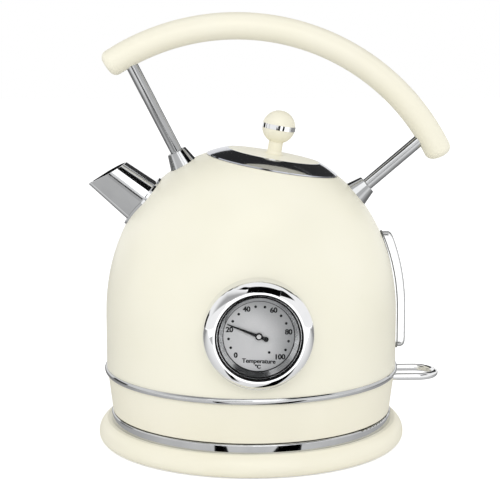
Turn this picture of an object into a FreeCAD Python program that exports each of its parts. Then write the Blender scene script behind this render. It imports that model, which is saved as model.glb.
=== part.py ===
import FreeCAD, Part
import math
import os
from FreeCAD import Placement, Rotation, Vector

# Electric kettle with a domed body, standing on its power base.
# Millimetres, +Z up. The origin is on the base's axis, on the table. The spout points to -X,
# the switch lever to +X and the temperature gauge to -Y.

# Clearances
touch = 0.05  # between pieces that are fixed to each other
running = 0.04  # radial, of a shaft in its bearing
free = 0.3  # between pieces that move past each other

# Power base
foot_height = 0.8
foot_inner = 68.0
foot_outer = 76.0
foot_thickness = 2.4
base_wall = 2.2
base_rim_width = 5.5  # from the shoulder out to the widest part
base_belly = 5.0  # height of the widest part of the rim
base_sole_inset = 2.5
base_shoulder_width = 2.8
base_height = 14.0
base_floor_drop = 0.4  # of the floor inside the ring, below the shoulder
base_cover_thickness = 2.0
base_ring_proud = 0.9  # beyond the skirt's foot
base_ring_wall = 2.2
base_ring_rise = 5.6
base_ring_groove = 1.4
base_screw_circle = 56.0
base_screw_count = 3
screw_radius = 1.5
screw_head_radius = 3.0
screw_head_height = 1.3
screw_length = 8.0
screw_cross_half = 1.8
screw_cross_width = 0.8
screw_cross_depth = 0.6
boss_radius = 4.2
boss_rib = 3.0
boss_cap = 2.0  # above the end of the screw

# Mains inlet at the back of the base
gland_height = 6.6
gland_radius = 4.8
gland_bore = 3.6
gland_length = 11.0
gland_proud = 1.0

# Round cordless connector
hub_radius = 12.5
hub_height = 7.8
hub_flange_radius = 18.0
hub_flange_thickness = 2.0
hub_bore = 2.6
hub_slot_inner = 6.4
hub_slot_outer = 9.2
hub_slot_depth = 6.0
contact_wall = 0.6
contact_drop = 1.0  # below the hub's top
swivel_radius = 19.5
swivel_thickness = 3.0
socket_radius = 21.0
socket_depth = 5.0
socket_pin_radius = 1.6
socket_pin_gap = 1.0  # above the base's floor
socket_cap = 2.0  # thickness over the socket

# Lower housing of the kettle
kettle_gap = 0.6  # between the base's ring and the skirt's lower edge
skirt_inset = 0.6  # of the skirt's top inside the dome's radius
skirt_taper = 3.0
skirt_height = 25.0
skirt_wall = 2.0
bottom_cover_inset = 0.2
bottom_cover_thickness = 2.0
bottom_screw_inset = 7.7
bottom_screw_count = 3
bottom_screw_start = 60.0
trim_height = 3.7
trim_proud = 1.4
trim_edge_proud = 0.6
trim_depth = 4.5

# Domed body
dome_radius = 93.9
dome_wall_height = 33.3  # of the straight wall under the dome
dome_rise = 108.3
dome_fullness = 2.1  # 2 is an ellipse, a higher value is squarer
dome_steps = 12
body_seam_rise = 61.1  # of the welded seam, above the trim ring
shell_wall = 1.0

# Heater and control
plate_thickness = 1.2
diffuser_gap = 8.0  # to the switch bracket
diffuser_thickness = 3.0
element_inset = 14.0  # from the diffuser's edge
element_radius = 3.5
element_arc = 300.0
element_tail = 8.0
element_tail_radius = 2.0
element_tail_turn = 5.0  # degrees in from the tube's ends
control_radius = 34.0
control_clearance = 1.8  # height of the bimetal discs under the diffuser
control_arm_gap = 2.0  # to the lever's tongue
control_arm_width = 26.0
control_arm_height = 9.0
control_post_radius = 3.0
control_post_circle = 28.0
control_post_count = 3
control_post_start = 90.0
bimetal_radius = 9.0
bimetal_spread = 15.0
steam_tube_radius = 4.0
steam_tube_wall = 0.6
steam_tube_inset = 19.9
steam_tube_rise = 87.0
steam_tube_tail = 6.0

# Lid, in its own leaning frame with Z = 0 on the body's flat seat
lid_lean = 10.0
lid_seat_share = 0.1427  # of the dome's radius, from its axis
lid_seat_drop = 11.0  # below the uncut dome
lid_radius = 42.4
lid_edge = 0.7
lid_skirt_top_radius = 30.6
lid_skirt_rise = 6.4
lid_skirt_wall = 1.1
lid_skirt_crown = 0.4  # bulge of its slope
lid_cover_thickness = 2.2
lid_cover_crown = 0.6
opening_radius = 36.5
neck_depth = 8.0
lid_plug_radius = 35.2
lid_plug_wall = 1.2
lid_plug_depth = 12.0
lid_flange_radius = 38.2
lid_flange_thickness = 0.8
lid_boss_radius = 6.0
lid_seal_low = -7.0
lid_seal_high = -3.0
lid_screw_radius = 2.0
lid_screw_head = 3.6
lid_screw_head_height = 2.0
lid_screw_reach = 8.0  # how far the screw goes into the stem
knob_radius = 10.6
knob_centre = 24.6
knob_band_height = 3.0
knob_band_proud = 0.15
knob_stem_radius = 4.6
knob_flare_radius = 6.2
knob_flare_height = 2.2
knob_pin_radius = 3.0

# Handle arch and its two posts
handle_centre_share = -0.1  # of the dome's radius, from its axis
handle_centre_rise = 39.2  # above the start of the dome
handle_radius = 145.5  # of the grip's middle line
handle_thickness = 17.2
handle_width = 22.0
handle_left_end = -34.4  # degrees from upright
handle_right_end = 64.5
handle_end_round = 4.8
post_radius = 3.9
left_post_share = -0.465  # of the dome's radius, where the post's middle meets it
left_post_lean = -27.0
right_post_share = 0.7226
right_post_lean = 49.6
post_tail = 8.6  # length inside the vessel
collar_foot_radius = 8.7
collar_top_radius = 6.2
collar_height = 9.2
collar_round = 0.8
insert_radius = 5.2
insert_length = 7.0
seal_radius = 7.0
seal_thickness = 1.5
nut_across = 11.0
nut_height = 4.6

# Spout, in its own frame with Z along its middle and X up its section
spout_rise = 38.4  # degrees above level
spout_root_share = -0.7508  # of the dome's radius, where its middle meets it
spout_half_width = 12.5
spout_upper = 15.3  # from the side ridge to the top
spout_lower = 15.3  # from the side ridge to the keel
spout_keel_half_width = 3.2
spout_keel_height = 2.4
spout_taper = 0.0052  # share of its size lost per mm
spout_wall = 1.2
spout_tip = 32.9  # from the root to the pouring lip
spout_back = 22.3  # from the root to the mouth's upper edge
spout_flange_margin = 3.2
spout_flange_thickness = 1.3
filter_depth = 11.0
filter_wall = 1.6
filter_margin = 1.6
mesh_thickness = 0.6
mesh_pitch = 3.0
mesh_hole = 1.9

# Temperature gauge, in its own frame with Z away from the kettle's axis
gauge_rise = 39.3  # above the trim ring
bezel_radius = 33.5
bezel_wall_height = 1.6  # of its straight side, beyond the dome
bezel_depth = 6.2  # in front of the dial
bezel_lip_outer = 27.4
bezel_lip_inner = 26.2
bezel_inner_wall = 4.0
lens_thickness = 1.2
lens_recess = 0.7
lens_seat = 1.4
dial_opening = 21.4
dial_rim = 1.0  # thickness of the bezel's edge round the dial
dial_radius = 25.4
dial_thickness = 0.8
case_wall = 0.8
case_stand = 0.5  # between the dome and the case's back
case_depth = 3.2
gauge_stem_radius = 5.0
gauge_stem_bore = 3.4
gauge_stem_reach = 22.0  # into the water
gauge_stem_end = 2.0
gauge_seal_radius = 12.0
gauge_nut_across = 16.0
gauge_nut_height = 5.0
gauge_nut_gap = 0.9  # room for the wall's curve
spindle_radius = 0.6
spindle_reach = 24.0
coil_outer = 2.6
coil_inner = 1.4
coil_length = 14.0
needle_rest = 67.9  # degrees left of upright, about 23 degrees of temperature
needle_length = 20.2
needle_tail = 4.6
needle_root_half = 1.0
needle_tip_half = 0.25
needle_tail_radius = 1.5
needle_hub_radius = 2.2
needle_thickness = 0.5
needle_lift = 0.7  # above the dial
needle_cap_radius = 1.8
needle_cap_height = 0.6

# Water level window
window_rise = 9.6  # above the trim ring
window_height = 76.5
window_width = 15.0
window_bulge = 6.5
window_wall = 1.8
window_round = 3.2  # of its outer edge
window_rim = 3.0  # rim inside the vessel, beyond the slot
window_rim_thickness = 1.4
gasket_thickness = 0.8

# Switch lever
lever_drop = 4.2  # below the trim ring
lever_bar = 2.3
lever_half_width = 12.7
lever_length = 27.6  # beyond the trim ring
lever_pivot_inset = 15.3
lever_travel = 14.0  # degrees
lever_hub_radius = 4.0
lever_hub_half = 16.5
lever_shield_gap = 1.9  # to the skirt
lever_shield_wall = 1.4
lever_shield_height = 13.1
lever_shield_half = 17.0
lever_tongue_length = 12.0
lever_tongue_half = 4.0
lever_tongue_thickness = 2.0
slot_clearance = 0.4
pin_radius = 1.5
bracket_ear = 3.5
bracket_half_length = 8.0
bracket_plate_thickness = 2.4

# Radii that follow
skirt_top_radius = dome_radius - skirt_inset
skirt_foot_radius = skirt_top_radius - skirt_taper
trim_radius = dome_radius + trim_proud
trim_edge_radius = dome_radius + trim_edge_proud
trim_inner_radius = dome_radius - trim_depth
base_ring_radius = skirt_foot_radius + base_ring_proud
base_shoulder = base_ring_radius + base_shoulder_width
base_radius = base_shoulder + base_rim_width
base_sole = base_radius - base_sole_inset
bottom_screw_circle = skirt_foot_radius - bottom_screw_inset
steam_tube_offset = dome_radius - steam_tube_inset
lever_pivot_x = skirt_top_radius - lever_pivot_inset
lever_reach = trim_radius + lever_length
lever_shield_radius = skirt_top_radius - skirt_wall - lever_shield_gap
control_arm_reach = lever_pivot_x - lever_tongue_length - control_arm_gap
diffuser_radius = lever_pivot_x - bracket_half_length - diffuser_gap
element_circle = diffuser_radius - element_inset

# Places on the dome that follow
lid_seat_x = lid_seat_share * dome_radius
handle_centre_x = handle_centre_share * dome_radius
left_post_x = left_post_share * dome_radius
right_post_x = right_post_share * dome_radius
spout_root_x = spout_root_share * dome_radius

# Heights that follow
cover_low = foot_height
cover_high = foot_height + base_cover_thickness
base_floor = base_height - base_floor_drop
base_deck = base_floor - base_wall
base_ring_height = base_height + base_ring_rise
hub_top = base_floor + hub_height
skirt_low = base_ring_height + kettle_gap
trim_low = skirt_low + skirt_height
trim_high = trim_low + trim_height
dome_start = trim_high + dome_wall_height
seam_height = trim_high + body_seam_rise
plate_low = trim_high
diffuser_low = plate_low - diffuser_thickness
control_high = diffuser_low - control_clearance
bottom_low = skirt_low + bottom_cover_inset
bottom_high = bottom_low + bottom_cover_thickness
swivel_low = base_floor + 2 * touch
socket_low = swivel_low + swivel_thickness + free
socket_roof = max(socket_low + socket_depth, hub_top + free)
socket_high = max(bottom_high, socket_roof) + socket_cap
steam_tube_top = plate_low + steam_tube_rise
gauge_height = trim_high + gauge_rise
window_low = trim_high + window_rise
window_high = window_low + window_height
window_start = dome_radius / 3  # well inside the vessel, where the slot's shape starts
lever_height = trim_low - lever_drop
lever_shield_high = trim_low - 2 * free
lever_shield_low = lever_shield_high - lever_shield_height
control_arm_high = lever_height - lever_tongue_thickness / 2 - free
control_arm_low = control_arm_high - control_arm_height
handle_centre_z = dome_start + handle_centre_rise

# Distances from the kettle's axis out to the faces of the gauge
case_back = dome_radius + case_stand
dial_front = case_back + case_depth + dial_thickness
bezel_front = dial_front + bezel_depth
bezel_shoulder = dome_radius + bezel_wall_height
gauge_root = dome_radius - bezel_radius / 2  # behind the dome's wall all round the bezel

# Lengths for cutting
past = 1.0  # how far a cut runs past a face
far = 400.0


def rod(radius, low, high):
    return Part.makeCylinder(radius, high - low, Vector(0, 0, low))


def ring(inner, outer, low, high):
    return rod(outer, low, high).cut(rod(inner, low - past, high + past))


def lathe(*corners):
    wire = Part.makePolygon([Vector(r, 0, z) for r, z in corners + corners[:1]])
    return Part.Face(wire).revolve(Vector(), Vector(0, 0, 1), 360)


def line(a, b):
    return Part.LineSegment(Vector(a[0], 0, a[1]), Vector(b[0], 0, b[1])).toShape()


def arc(a, b, c):
    return Part.Arc(*[Vector(r, 0, z) for r, z in (a, b, c)]).toShape()


def upright_arc(start, end):
    # leaves its start straight up or down and bends to its end
    across = start[0] - end[0]
    up = end[1] - start[1]
    radius = (across ** 2 + up ** 2) / (2 * across)
    half = math.atan2(up / radius, 1 - across / radius) / 2
    middle = (start[0] - radius * (1 - math.cos(half)), start[1] + radius * math.sin(half))
    return arc(start, middle, end)


def lathe_edges(*edges):
    return Part.Face(Part.Wire(edges)).revolve(Vector(), Vector(0, 0, 1), 360)


def box(low, high):
    size = [b - a for a, b in zip(low, high)]
    return Part.makeBox(*size, Vector(*low))


def placed(shape, foot, turn):
    result = shape.copy()
    result.Placement = Placement(foot, turn).multiply(result.Placement)
    return result


def lean(shape, x, z, degrees):
    return placed(shape, Vector(x, 0, z), Rotation(Vector(0, 1, 0), degrees))


def on_lid(shape):
    return lean(shape, lid_seat_x, dome_height(lid_seat_x) - lid_seat_drop, lid_lean)


def on_spout(shape):
    return lean(shape, spout_root_x, dome_height(abs(spout_root_x)), spout_rise - 90)


def on_gauge(shape):
    return placed(shape, Vector(0, 0, gauge_height), Rotation(Vector(1, 0, 0), 90))


def crosswise(radius, half, x, z):
    return Part.makeCylinder(radius, 2 * half, Vector(x, -half, z), Vector(0, 1, 0))


def around(shape, radius, count, start=0.0):
    turned = []
    for index in range(count):
        degrees = start + 360.0 * index / count
        angle = math.radians(degrees)
        spot = Vector(radius * math.cos(angle), radius * math.sin(angle), 0)
        turned.append(placed(shape, spot, Rotation(Vector(0, 0, 1), degrees)))
    return turned


def at_base_screws(shape):
    return around(shape, base_screw_circle, base_screw_count)


def at_bottom_screws(shape):
    return around(shape, bottom_screw_circle, bottom_screw_count, bottom_screw_start)


def hexagon(across, low, high):
    corner = across / math.sqrt(3)
    points = []
    for step in range(7):
        angle = math.pi * step / 3
        points.append(Vector(corner * math.cos(angle), corner * math.sin(angle), low))
    return Part.Face(Part.makePolygon(points)).extrude(Vector(0, 0, high - low))


def dome_height(radius):
    share = (radius / dome_radius) ** dome_fullness
    return dome_start + dome_rise * (1 - share) ** (1 / dome_fullness)


def dome_solid(grow, low):
    # the body's outside, grown or shrunk, from a level up to the top of the dome
    radius = dome_radius + grow
    rise = dome_rise + grow
    points = []
    for step in range(dome_steps + 1):
        angle = 0.5 * math.pi * step / dome_steps
        across = max(math.cos(angle), 0.0) ** (2 / dome_fullness)
        up = math.sin(angle) ** (2 / dome_fullness)
        points.append(Vector(radius * across if step < dome_steps else 0.0, 0, dome_start + rise * up))
    curve = Part.BSplineCurve()
    curve.interpolate(Points=points, InitialTangent=Vector(0, 0, 1), FinalTangent=Vector(-1, 0, 0))
    top = (0, dome_start + rise)
    return lathe_edges(line((0, low), (radius, low)), line((radius, low), (radius, dome_start)),
                       curve.toShape(), line(top, (0, low)))


def above_seat(level):
    return on_lid(box((-far, -far, level), (far, far, far)))


def vessel_outside():
    return dome_solid(0, trim_high).cut(above_seat(0))


def vessel_inside(grow):
    return dome_solid(grow - shell_wall, trim_high - past).cut(above_seat(grow - shell_wall))


# Power base


def base_housing():
    top_wall = base_height - base_wall
    step = base_ring_radius - base_ring_wall - base_wall
    outside = lathe_edges(
        line((0, cover_low), (base_sole, cover_low)),
        upright_arc((base_radius, base_belly), (base_sole, cover_low)),
        upright_arc((base_radius, base_belly), (base_shoulder, base_height)),
        line((base_shoulder, base_height), (step, base_height)),
        line((step, base_height), (step, base_floor)),
        line((step, base_floor), (0, base_floor)),
        line((0, base_floor), (0, cover_low)))
    inner_radius = base_sole - base_wall
    hollow = lathe((0, cover_low - past), (inner_radius, cover_low - past), (inner_radius, base_belly),
                   (base_shoulder - base_wall, top_wall - base_ring_groove),
                   (base_shoulder - 2 * base_wall, base_deck - base_ring_groove),
                   (step - 2 * base_wall, base_deck - base_ring_groove),
                   (step - 3 * base_wall, base_deck), (0, base_deck))
    groove = ring(base_ring_radius - base_ring_wall - touch, base_ring_radius + touch,
                  base_height - base_ring_groove, base_height + past)
    housing = outside.cut(hollow).cut(groove)
    bosses = at_base_screws(rod(boss_radius, cover_high + touch, base_deck))
    hole = rod(screw_radius + touch, cover_low, cover_low + screw_head_height + screw_length + touch)
    housing = housing.fuse(bosses).cut(at_base_screws(hole))
    return housing.cut(rod(hub_radius + touch, 0, far)).cut(gland_blank(touch))


def base_trim_ring():
    inner = base_ring_radius - base_ring_wall
    low = base_height - base_ring_groove + touch
    bead = base_ring_wall / 2
    return lathe_edges(
        line((inner, low), (base_ring_radius, low)),
        line((base_ring_radius, low), (base_ring_radius, base_ring_height - bead)),
        arc((base_ring_radius, base_ring_height - bead), (inner + bead, base_ring_height),
            (inner, base_ring_height - bead)),
        line((inner, base_ring_height - bead), (inner, low)))


def base_bottom_cover():
    cover = rod(base_sole - base_wall - touch, cover_low, cover_high)
    groove = ring(foot_inner - touch, foot_outer + touch, cover_low - past, foot_thickness + touch)
    head = rod(screw_head_radius + touch, cover_low - past, cover_low + screw_head_height)
    shank = rod(screw_radius + touch, cover_low - past, cover_high + past)
    return cover.cut(groove).cut(at_base_screws(head.fuse(shank))).cut(gland_blank(touch))


def base_foot_ring():
    return ring(foot_inner, foot_outer, 0, foot_thickness)


def screw_solid(low):
    head = rod(screw_head_radius, low, low + screw_head_height)
    cross = box((-screw_cross_half, -screw_cross_width / 2, low),
                (screw_cross_half, screw_cross_width / 2, low + screw_cross_depth))
    shank = rod(screw_radius, low + screw_head_height, low + screw_head_height + screw_length)
    return head.fuse(shank).cut(cross.fuse(placed(cross, Vector(), Rotation(Vector(0, 0, 1), 90))))


def base_screws():
    return Part.makeCompound(at_base_screws(screw_solid(cover_low)))


def gland_blank(grow):
    tube = rod(gland_radius + grow, -gland_length - grow, gland_proud + grow)
    return placed(tube, Vector(0, base_radius, gland_height), Rotation(Vector(1, 0, 0), -90))


def cord_gland():
    bore = placed(rod(gland_bore, -far, far), Vector(0, 0, gland_height), Rotation(Vector(1, 0, 0), -90))
    return gland_blank(0).cut(bore)


def connector_hub():
    hub = rod(hub_radius, base_deck, hub_top)
    flange = rod(hub_flange_radius, base_deck - hub_flange_thickness, base_deck - touch)
    core = rod(hub_radius, base_deck - hub_flange_thickness, base_deck + past)
    bore = rod(hub_bore, base_deck, far)
    slot = ring(hub_slot_inner, hub_slot_outer, hub_top - hub_slot_depth, hub_top + past)
    return hub.fuse([flange, core]).cut(bore).cut(slot)


def base_contacts():
    high = hub_top - contact_drop
    slot_low = hub_top - hub_slot_depth + touch
    sleeve = ring(hub_bore - contact_wall, hub_bore - touch, base_deck + touch, high)
    band = ring(hub_slot_outer - contact_wall, hub_slot_outer - touch, slot_low, high)
    return Part.makeCompound([sleeve, band])


def swivel_ring():
    return ring(hub_radius + running, swivel_radius, swivel_low, swivel_low + swivel_thickness)


# Lower housing and heater


def lower_skirt():
    skirt = lathe((skirt_foot_radius - skirt_wall, skirt_low), (skirt_foot_radius, skirt_low),
                  (skirt_top_radius, trim_low), (skirt_top_radius - skirt_wall, trim_low))
    wall_middle = skirt_wall / 2
    within = lathe((0, skirt_low), (skirt_foot_radius - wall_middle, skirt_low),
                   (skirt_top_radius - wall_middle, trim_low), (0, trim_low))
    boss_low = bottom_high + touch
    boss_high = bottom_high + screw_length + boss_cap
    rib = box((0, -boss_rib / 2, boss_low), (2 * boss_radius, boss_rib / 2, boss_high))
    boss = rod(boss_radius, boss_low, boss_high).fuse(rib)
    bosses = [each.common(within) for each in at_bottom_screws(boss)]
    hole = rod(screw_radius + touch, bottom_low, bottom_low + screw_head_height + screw_length + touch)
    return skirt.fuse(bosses).cut(at_bottom_screws(hole)).cut(lever_slots())


def lever_slots():
    # each arm's slot is as deep as the arm swings at the skirt
    half = lever_bar + slot_clearance
    drop = (skirt_top_radius - lever_pivot_x) * math.sin(math.radians(lever_travel)) + slot_clearance
    low = lever_height - half - drop
    return [box((lever_pivot_x + lever_hub_radius, side * lever_half_width - half, low),
                (far, side * lever_half_width + half, lever_height + half))
            for side in (-1, 1)]


def trim_ring():
    middle = (trim_low + trim_high) / 2
    return lathe_edges(
        line((trim_inner_radius, trim_low), (trim_edge_radius, trim_low)),
        arc((trim_edge_radius, trim_low), (trim_radius, middle), (trim_edge_radius, trim_high)),
        line((trim_edge_radius, trim_high), (trim_inner_radius, trim_high)),
        line((trim_inner_radius, trim_high), (trim_inner_radius, trim_low)))


def bottom_cover():
    cover = rod(skirt_foot_radius - skirt_wall - touch, bottom_low, bottom_high)
    head = rod(screw_head_radius + touch, bottom_low - past, bottom_low + screw_head_height)
    shank = rod(screw_radius + touch, bottom_low - past, bottom_high + past)
    return cover.cut(at_bottom_screws(head.fuse(shank))).cut(rod(socket_radius + touch, 0, far))


def bottom_screws():
    return Part.makeCompound(at_bottom_screws(screw_solid(bottom_low)))


def heater_plate():
    plate = rod(dome_radius - shell_wall - touch, plate_low, plate_low + plate_thickness)
    return plate.cut(steam_tube_blank(touch))


def heat_diffuser():
    return rod(diffuser_radius, diffuser_low, plate_low)


def heating_element():
    level = diffuser_low - element_radius
    half_gap = (360 - element_arc) / 2
    middle = Vector(element_circle, 0, level)
    section = Part.Circle(middle, Vector(0, 1, 0), element_radius).toShape()
    tube = Part.Face(Part.Wire(section)).revolve(Vector(), Vector(0, 0, 1), element_arc)
    tube = placed(tube, Vector(), Rotation(Vector(0, 0, 1), half_gap))
    tails = []
    for degrees in (half_gap + element_tail_turn, -half_gap - element_tail_turn):
        tail = placed(rod(element_tail_radius, level - element_radius - element_tail, level),
                      Vector(element_circle, 0, 0), Rotation())
        tails.append(placed(tail, Vector(), Rotation(Vector(0, 0, 1), degrees)))
    return tube.fuse(tails)


def control_unit():
    body = rod(control_radius, socket_high, control_high)
    arm = box((0, -control_arm_width / 2, control_arm_low),
              (control_arm_reach, control_arm_width / 2, control_arm_high))
    post_solid = rod(control_post_radius, control_high - past, diffuser_low)
    posts = around(post_solid, control_post_circle, control_post_count, control_post_start)
    return body.fuse([arm] + posts)


def bimetal_discs():
    disc = rod(bimetal_radius, control_high, diffuser_low - touch)
    return Part.makeCompound(around(disc, bimetal_spread, 2))


def socket():
    body = rod(socket_radius, socket_low, socket_high)
    return body.cut(rod(hub_radius + free, socket_low - past, socket_roof))


def socket_contacts():
    pin = rod(socket_pin_radius, base_floor + socket_pin_gap, socket_roof)
    low = hub_top - hub_slot_depth + 2 * free
    inner = hub_slot_inner + 2 * free
    return Part.makeCompound([pin, ring(inner, inner + contact_wall, low, socket_roof)])


def steam_tube_blank(grow):
    tube = rod(steam_tube_radius + grow, plate_low - steam_tube_tail, steam_tube_top)
    return placed(tube, Vector(0, steam_tube_offset, 0), Rotation())


def steam_tube():
    bore = rod(steam_tube_radius - steam_tube_wall, 0, far)
    return steam_tube_blank(0).cut(placed(bore, Vector(0, steam_tube_offset, 0), Rotation()))


# Domed body


def vessel_shell():
    shell = vessel_outside().cut(vessel_inside(0))
    neck = ring(opening_radius, opening_radius + shell_wall, -neck_depth, -shell_wall / 2)
    shell = shell.fuse(on_lid(neck)).cut(on_lid(rod(opening_radius, -2 * neck_depth, far)))
    shell = shell.cut(on_spout(spout_core(-spout_wall)))
    shell = shell.cut(on_gauge(rod(gauge_stem_radius + touch, 0, far)))
    shell = shell.cut(window_prism(window_width, 0))
    post_hole = rod(post_radius + touch, -2 * post_tail, 2 * post_tail)
    return shell.cut([on_post(post_hole, side) for side in sides])


def body_wall():
    return vessel_shell().common(rod(far, 0, seam_height))


def body_dome():
    return vessel_shell().cut(rod(far, 0, seam_height))


# Posts and handle


sides = {"left": (left_post_x, left_post_lean), "right": (right_post_x, right_post_lean)}


def on_post(shape, side):
    x, degrees = sides[side]
    return lean(shape, x, dome_height(abs(x)), degrees)


def post_reach(side, radius):
    # distance along the post from the dome to a circle about the handle's centre
    x, degrees = sides[side]
    step_x = math.sin(math.radians(degrees))
    step_z = math.cos(math.radians(degrees))
    from_x = x - handle_centre_x
    from_z = dome_height(abs(x)) - handle_centre_z
    along = from_x * step_x + from_z * step_z
    return math.sqrt(along ** 2 + radius ** 2 - from_x ** 2 - from_z ** 2) - along


def post(side):
    return on_post(rod(post_radius, -post_tail, post_reach(side, handle_radius)), side)


def collar(side):
    # the cone starts half its height below the dome, which trims it
    foot_radius = collar_foot_radius + (collar_foot_radius - collar_top_radius) / 2
    below = collar_height / 2
    cone = Part.makeCone(foot_radius, collar_top_radius, collar_height + below, Vector(0, 0, -below))
    rim = [edge for edge in cone.Edges if edge.Closed and edge.BoundBox.ZMin > 0]
    cone = cone.makeFillet(collar_round, rim).cut(rod(post_radius + touch, -far, far))
    return on_post(cone, side).cut(dome_solid(0, trim_high))


def handle_arch():
    widest = Vector(handle_radius, handle_width / 2, 0)
    outermost = Vector(handle_radius + handle_thickness / 2, 0, 0)
    section = Part.Ellipse(widest, outermost, Vector(handle_radius, 0, 0))
    sweep = handle_left_end - handle_right_end
    arch = Part.Face(Part.Wire(section.toShape())).revolve(Vector(), Vector(0, 1, 0), sweep)
    turn = Rotation(Vector(0, 1, 0), handle_right_end - 90)
    arch = placed(arch, Vector(handle_centre_x, 0, handle_centre_z), turn)
    ends = [edge for edge in arch.Edges if edge.Length < 2 * (handle_width + handle_thickness)]
    return arch.makeFillet(handle_end_round, ends)


def handle_grip():
    grip = handle_arch()
    for side in sides:
        end = post_reach(side, handle_radius)
        hole = rod(post_radius + touch, 0, end + touch)
        hole = hole.fuse(rod(insert_radius + touch, end - insert_length, end + touch))
        grip = grip.cut(on_post(hole, side))
    return grip


def handle_inserts():
    sleeves = []
    for side in sides:
        end = post_reach(side, handle_radius)
        sleeve = ring(post_radius + touch, insert_radius, end - insert_length + touch, end)
        sleeves.append(on_post(sleeve, side))
    return Part.makeCompound(sleeves)


def post_seals():
    low = -shell_wall - free - seal_thickness
    seal = ring(post_radius + touch, seal_radius, low, 0)
    inside = vessel_inside(-touch)
    return Part.makeCompound([on_post(seal, side).common(inside) for side in sides])


def post_nuts():
    high = -shell_wall - free - seal_thickness
    nut = hexagon(nut_across, high - nut_height, high).cut(rod(post_radius + touch, -far, far))
    return Part.makeCompound([on_post(nut, side) for side in sides])


# Spout and filter


def spout_outline(level, grow):
    size = 1 - spout_taper * level
    half = spout_half_width * size + grow
    upper = spout_upper * size + grow
    lower = spout_lower * size + grow
    keel = spout_keel_half_width * size + grow / 2
    keel_up = lower - spout_keel_height * size
    right = Vector(0, half, level)
    left = Vector(0, -half, level)
    keel_right = Vector(-keel_up, keel, level)
    keel_left = Vector(-keel_up, -keel, level)
    return Part.Wire([Part.Arc(left, Vector(upper, 0, level), right).toShape(),
                      Part.LineSegment(right, keel_right).toShape(),
                      Part.Arc(keel_right, Vector(-lower, 0, level), keel_left).toShape(),
                      Part.LineSegment(keel_left, left).toShape()])


def spout_core(grow):
    return Part.makeLoft([spout_outline(-spout_tip, grow), spout_outline(2 * spout_tip, grow)], True, True)


def beyond_mouth():
    # everything past the slanting plane from the pouring lip to the upper edge of the mouth
    tip = Vector(-spout_lower * (1 - spout_taper * spout_tip), 0, spout_tip)
    back = Vector(spout_upper * (1 - spout_taper * spout_back), 0, spout_back)
    slope = math.degrees(math.atan2(tip.z - back.z, back.x - tip.x))
    return placed(box((-far, -far, 0), (far, far, far)), tip, Rotation(Vector(0, 1, 0), slope))


def spout():
    inside = dome_solid(0, trim_high)
    tube = on_spout(spout_core(0).cut(beyond_mouth())).cut(inside)
    plate = Part.Face(spout_outline(0, spout_flange_margin)).extrude(Vector(0, 0, spout_tip))
    plate = placed(plate, Vector(0, 0, -spout_tip / 2), Rotation())
    plate = on_spout(plate).common(dome_solid(spout_flange_thickness, trim_high)).cut(inside)
    return tube.fuse(plate).cut(on_spout(spout_core(-spout_wall))).removeSplitter()


def filter_frame():
    inner = Part.Face(spout_outline(0, filter_margin)).extrude(Vector(0, 0, -filter_depth))
    outer = Part.Face(spout_outline(0, filter_margin + filter_wall)).extrude(Vector(0, 0, -filter_depth))
    return on_spout(outer.cut(inner)).common(vessel_inside(-touch))


def filter_mesh():
    outline = spout_outline(0, filter_margin - touch)
    border = Part.Face(outline)
    holes = []
    reach = math.ceil(spout_upper / mesh_pitch)
    half = mesh_hole / 2
    corners = ((-half, -half), (-half, half), (half, half), (half, -half), (-half, -half))
    for row in range(-reach, reach + 1):
        for column in range(-reach, reach + 1):
            spot = Vector(row * mesh_pitch, column * mesh_pitch, 0)
            point = Part.Vertex(spot)
            if border.distToShape(point)[0] < touch and outline.distToShape(point)[0] > mesh_hole:
                holes.append(Part.makePolygon([spot + Vector(a, b, 0) for a, b in corners]))
    net = Part.Face([outline] + holes).extrude(Vector(0, 0, mesh_thickness))
    return on_spout(placed(net, Vector(0, 0, -filter_depth), Rotation()))


# Temperature gauge


def gauge_bezel():
    seat = bezel_front - lens_recess - lens_thickness - touch
    back = bezel_radius - bezel_inner_wall
    ring_solid = lathe_edges(
        line((bezel_radius, gauge_root), (bezel_radius, bezel_shoulder)),
        upright_arc((bezel_radius, bezel_shoulder), (bezel_lip_outer, bezel_front)),
        line((bezel_lip_outer, bezel_front), (bezel_lip_inner, bezel_front)),
        line((bezel_lip_inner, bezel_front), (bezel_lip_inner, seat)),
        line((bezel_lip_inner, seat), (bezel_lip_inner - lens_seat, seat)),
        line((bezel_lip_inner - lens_seat, seat), (dial_opening, dial_front + dial_rim)),
        line((dial_opening, dial_front + dial_rim), (dial_opening, dial_front + touch)),
        line((dial_opening, dial_front + touch), (back, dial_front + touch)),
        line((back, dial_front + touch), (back, gauge_root)),
        line((back, gauge_root), (bezel_radius, gauge_root)))
    return on_gauge(ring_solid).cut(dome_solid(0, trim_high))


def gauge_lens():
    high = bezel_front - lens_recess
    return on_gauge(rod(bezel_lip_inner - touch, high - lens_thickness, high))


def gauge_dial():
    return on_gauge(ring(spindle_radius + free, dial_radius, dial_front - dial_thickness, dial_front))


def gauge_case():
    high = dial_front - dial_thickness
    cup = rod(dial_radius, case_back, high).cut(rod(dial_radius - case_wall, case_back + case_wall, far))
    return on_gauge(cup.cut(rod(spindle_radius + running, 0, far)))


def gauge_seal():
    seal = ring(gauge_stem_radius + touch, gauge_seal_radius, gauge_root, case_back)
    return on_gauge(seal).cut(dome_solid(0, trim_high))


def gauge_stem():
    inner_end = dome_radius - shell_wall - gauge_stem_reach
    stem = rod(gauge_stem_radius, inner_end, case_back)
    return on_gauge(stem.cut(rod(gauge_stem_bore, inner_end + gauge_stem_end, far)))


def gauge_nut():
    high = dome_radius - shell_wall - gauge_nut_gap
    nut = hexagon(gauge_nut_across, high - gauge_nut_height, high)
    return on_gauge(nut.cut(rod(gauge_stem_radius + touch, 0, far)))


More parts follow.
